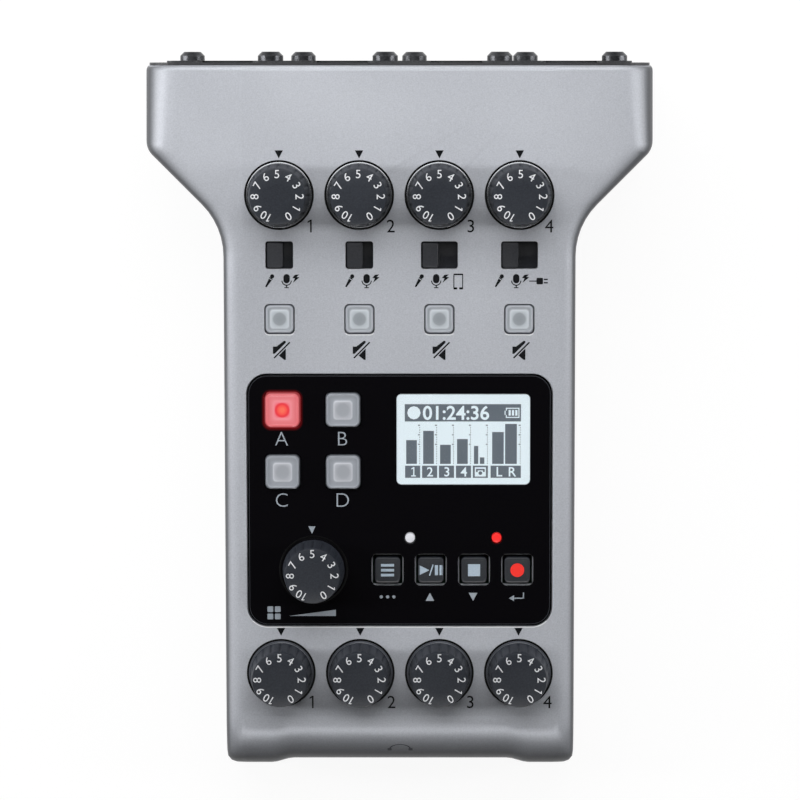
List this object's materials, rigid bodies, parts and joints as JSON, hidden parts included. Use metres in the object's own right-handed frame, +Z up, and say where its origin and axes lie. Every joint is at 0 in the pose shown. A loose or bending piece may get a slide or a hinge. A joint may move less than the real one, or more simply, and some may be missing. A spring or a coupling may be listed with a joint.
{
  "type": "podcast recorder",
  "caption": "Podcast recorder with a sloping deck, input and headphone knobs, slide switches, lit pads, a display and transport keys, and microphone sockets at the rear.",
  "frame": {"origin": "on the table under the middle of the recorder's box", "axes": "+X to the user's right, +Y to the rear edge with the microphone sockets, +Z up"},
  "size_m": [0.112, 0.1614, 0.0467],
  "materials": {
    "silver_paint": "satin silver paint",
    "black_plastic": "fine matt",
    "gloss_panel": "gloss",
    "clear_window": "clear",
    "display": "lit display",
    "light_guide": "clear guide",
    "circuit_board": "solder mask",
    "control_body": "matt",
    "steel": "plated",
    "brass": "plated",
    "dark_screw": "black oxide",
    "cell_wrap": "sleeve",
    "foot_rubber": "matt",
    "knob_plastic": "fine satin",
    "lever_plastic": "satin",
    "milky_plastic": "milky",
    "lit_plastic": "milky, lit red",
    "key_plastic": "satin"
  },
  "bodies": {
    "case": {"upper_case": "silver_paint", "lower_case": "black_plastic", "rear_panel": "black_plastic", "control_panel": "gloss_panel", "display_window": "clear_window", "display_module": "display", "indicator_lights": "light_guide", "main_board": "circuit_board", "jack_board": "circuit_board", "io_board": "circuit_board", "pot_bodies": "control_body", "switch_bodies": "steel", "tact_switches": "control_body", "input_sockets": "black_plastic", "socket_contacts": "brass", "socket_screws": "dark_screw", "audio_jacks": "black_plastic", "usb_sockets": "steel", "card_socket": "steel", "battery_cells": "cell_wrap", "battery_contacts": "steel", "case_screws": "steel", "board_screws": "steel", "rubber_feet": "foot_rubber"},
    "gain_knob_1": {"gain_knob_1": "knob_plastic", "gain_shaft_1": "steel"},
    "phones_knob_1": {"phones_knob_1": "knob_plastic", "phones_shaft_1": "steel"},
    "gain_knob_2": {"gain_knob_2": "knob_plastic", "gain_shaft_2": "steel"},
    "phones_knob_2": {"phones_knob_2": "knob_plastic", "phones_shaft_2": "steel"},
    "gain_knob_3": {"gain_knob_3": "knob_plastic", "gain_shaft_3": "steel"},
    "phones_knob_3": {"phones_knob_3": "knob_plastic", "phones_shaft_3": "steel"},
    "gain_knob_4": {"gain_knob_4": "knob_plastic", "gain_shaft_4": "steel"},
    "phones_knob_4": {"phones_knob_4": "knob_plastic", "phones_shaft_4": "steel"},
    "pad_knob_1": {"pad_knob_1": "knob_plastic", "pad_shaft_1": "steel"},
    "input_switch_1": {"input_switch_1": "lever_plastic"},
    "input_switch_2": {"input_switch_2": "lever_plastic"},
    "input_switch_3": {"input_switch_3": "lever_plastic"},
    "input_switch_4": {"input_switch_4": "lever_plastic"},
    "mute_button_1": {"mute_button_1": "milky_plastic"},
    "mute_button_2": {"mute_button_2": "milky_plastic"},
    "mute_button_3": {"mute_button_3": "milky_plastic"},
    "mute_button_4": {"mute_button_4": "milky_plastic"},
    "sound_pad_a": {"sound_pad_a": "lit_plastic"},
    "sound_pad_b": {"sound_pad_b": "milky_plastic"},
    "sound_pad_c": {"sound_pad_c": "milky_plastic"},
    "sound_pad_d": {"sound_pad_d": "milky_plastic"},
    "menu_button": {"menu_button": "key_plastic"},
    "play_button": {"play_button": "key_plastic"},
    "stop_button": {"stop_button": "key_plastic"},
    "record_button": {"record_button": "key_plastic"},
    "power_slider": {"power_slider": "black_plastic"},
    "battery_door": {"battery_door": "black_plastic"}
  },
  "joints": [
    {"name": "gain_knob_1_turn", "type": "hinge", "parent": "case", "child": "gain_knob_1", "pos_m": [-0.0264, 0.04604, 0.03753], "axis": [0, -0.1045, 0.9945], "range_deg": [-150, 150]},
    {"name": "phones_knob_1_turn", "type": "hinge", "parent": "case", "child": "phones_knob_1", "pos_m": [-0.0264, -0.05968, 0.02641], "axis": [0, -0.1045, 0.9945], "range_deg": [-150, 150]},
    {"name": "gain_knob_2_turn", "type": "hinge", "parent": "case", "child": "gain_knob_2", "pos_m": [-0.0088, 0.04604, 0.03753], "axis": [0, -0.1045, 0.9945], "range_deg": [-150, 150]},
    {"name": "phones_knob_2_turn", "type": "hinge", "parent": "case", "child": "phones_knob_2", "pos_m": [-0.0088, -0.05968, 0.02641], "axis": [0, -0.1045, 0.9945], "range_deg": [-150, 150]},
    {"name": "gain_knob_3_turn", "type": "hinge", "parent": "case", "child": "gain_knob_3", "pos_m": [0.0088, 0.04604, 0.03753], "axis": [0, -0.1045, 0.9945], "range_deg": [-150, 150]},
    {"name": "phones_knob_3_turn", "type": "hinge", "parent": "case", "child": "phones_knob_3", "pos_m": [0.0088, -0.05968, 0.02641], "axis": [0, -0.1045, 0.9945], "range_deg": [-150, 150]},
    {"name": "gain_knob_4_turn", "type": "hinge", "parent": "case", "child": "gain_knob_4", "pos_m": [0.0264, 0.04604, 0.03753], "axis": [0, -0.1045, 0.9945], "range_deg": [-150, 150]},
    {"name": "phones_knob_4_turn", "type": "hinge", "parent": "case", "child": "phones_knob_4", "pos_m": [0.0264, -0.05968, 0.02641], "axis": [0, -0.1045, 0.9945], "range_deg": [-150, 150]},
    {"name": "pad_knob_1_turn", "type": "hinge", "parent": "case", "child": "pad_knob_1", "pos_m": [-0.0191, -0.03666, 0.02883], "axis": [0, -0.1045, 0.9945], "range_deg": [-150, 150]},
    {"name": "input_switch_1_slide", "type": "slide", "parent": "case", "child": "input_switch_1", "axis": [1, 0, 0], "range_m": [0, 0.002]},
    {"name": "input_switch_2_slide", "type": "slide", "parent": "case", "child": "input_switch_2", "axis": [1, 0, 0], "range_m": [0, 0.002]},
    {"name": "input_switch_3_slide", "type": "slide", "parent": "case", "child": "input_switch_3", "axis": [1, 0, 0], "range_m": [0, 0.004]},
    {"name": "input_switch_4_slide", "type": "slide", "parent": "case", "child": "input_switch_4", "axis": [1, 0, 0], "range_m": [0, 0.004]},
    {"name": "mute_button_1_press", "type": "slide", "parent": "case", "child": "mute_button_1", "axis": [0, 0.1045, -0.9945], "range_m": [0, 0.0005], "stiffness_N_per_m": 200},
    {"name": "mute_button_2_press", "type": "slide", "parent": "case", "child": "mute_button_2", "axis": [0, 0.1045, -0.9945], "range_m": [0, 0.0005], "stiffness_N_per_m": 200},
    {"name": "mute_button_3_press", "type": "slide", "parent": "case", "child": "mute_button_3", "axis": [0, 0.1045, -0.9945], "range_m": [0, 0.0005], "stiffness_N_per_m": 200},
    {"name": "mute_button_4_press", "type": "slide", "parent": "case", "child": "mute_button_4", "axis": [0, 0.1045, -0.9945], "range_m": [0, 0.0005], "stiffness_N_per_m": 200},
    {"name": "sound_pad_a_press", "type": "slide", "parent": "case", "child": "sound_pad_a", "axis": [0, 0.1045, -0.9945], "range_m": [0, 0.0005], "stiffness_N_per_m": 200},
    {"name": "sound_pad_b_press", "type": "slide", "parent": "case", "child": "sound_pad_b", "axis": [0, 0.1045, -0.9945], "range_m": [0, 0.0005], "stiffness_N_per_m": 200},
    {"name": "sound_pad_c_press", "type": "slide", "parent": "case", "child": "sound_pad_c", "axis": [0, 0.1045, -0.9945], "range_m": [0, 0.0005], "stiffness_N_per_m": 200},
    {"name": "sound_pad_d_press", "type": "slide", "parent": "case", "child": "sound_pad_d", "axis": [0, 0.1045, -0.9945], "range_m": [0, 0.0005], "stiffness_N_per_m": 200},
    {"name": "menu_button_press", "type": "slide", "parent": "case", "child": "menu_button", "axis": [0, 0.1045, -0.9945], "range_m": [0, 0.0005], "stiffness_N_per_m": 200},
    {"name": "play_button_press", "type": "slide", "parent": "case", "child": "play_button", "axis": [0, 0.1045, -0.9945], "range_m": [0, 0.0005], "stiffness_N_per_m": 200},
    {"name": "stop_button_press", "type": "slide", "parent": "case", "child": "stop_button", "axis": [0, 0.1045, -0.9945], "range_m": [0, 0.0005], "stiffness_N_per_m": 200},
    {"name": "record_button_press", "type": "slide", "parent": "case", "child": "record_button", "axis": [0, 0.1045, -0.9945], "range_m": [0, 0.0005], "stiffness_N_per_m": 200},
    {"name": "power_slider_slide", "type": "slide", "parent": "case", "child": "power_slider", "axis": [0, -1, 0], "range_m": [0, 0.003]},
    {"name": "battery_door_slide", "type": "slide", "parent": "case", "child": "battery_door", "axis": [-1, 0, 0], "range_m": [0, 0.07]}
  ]
}
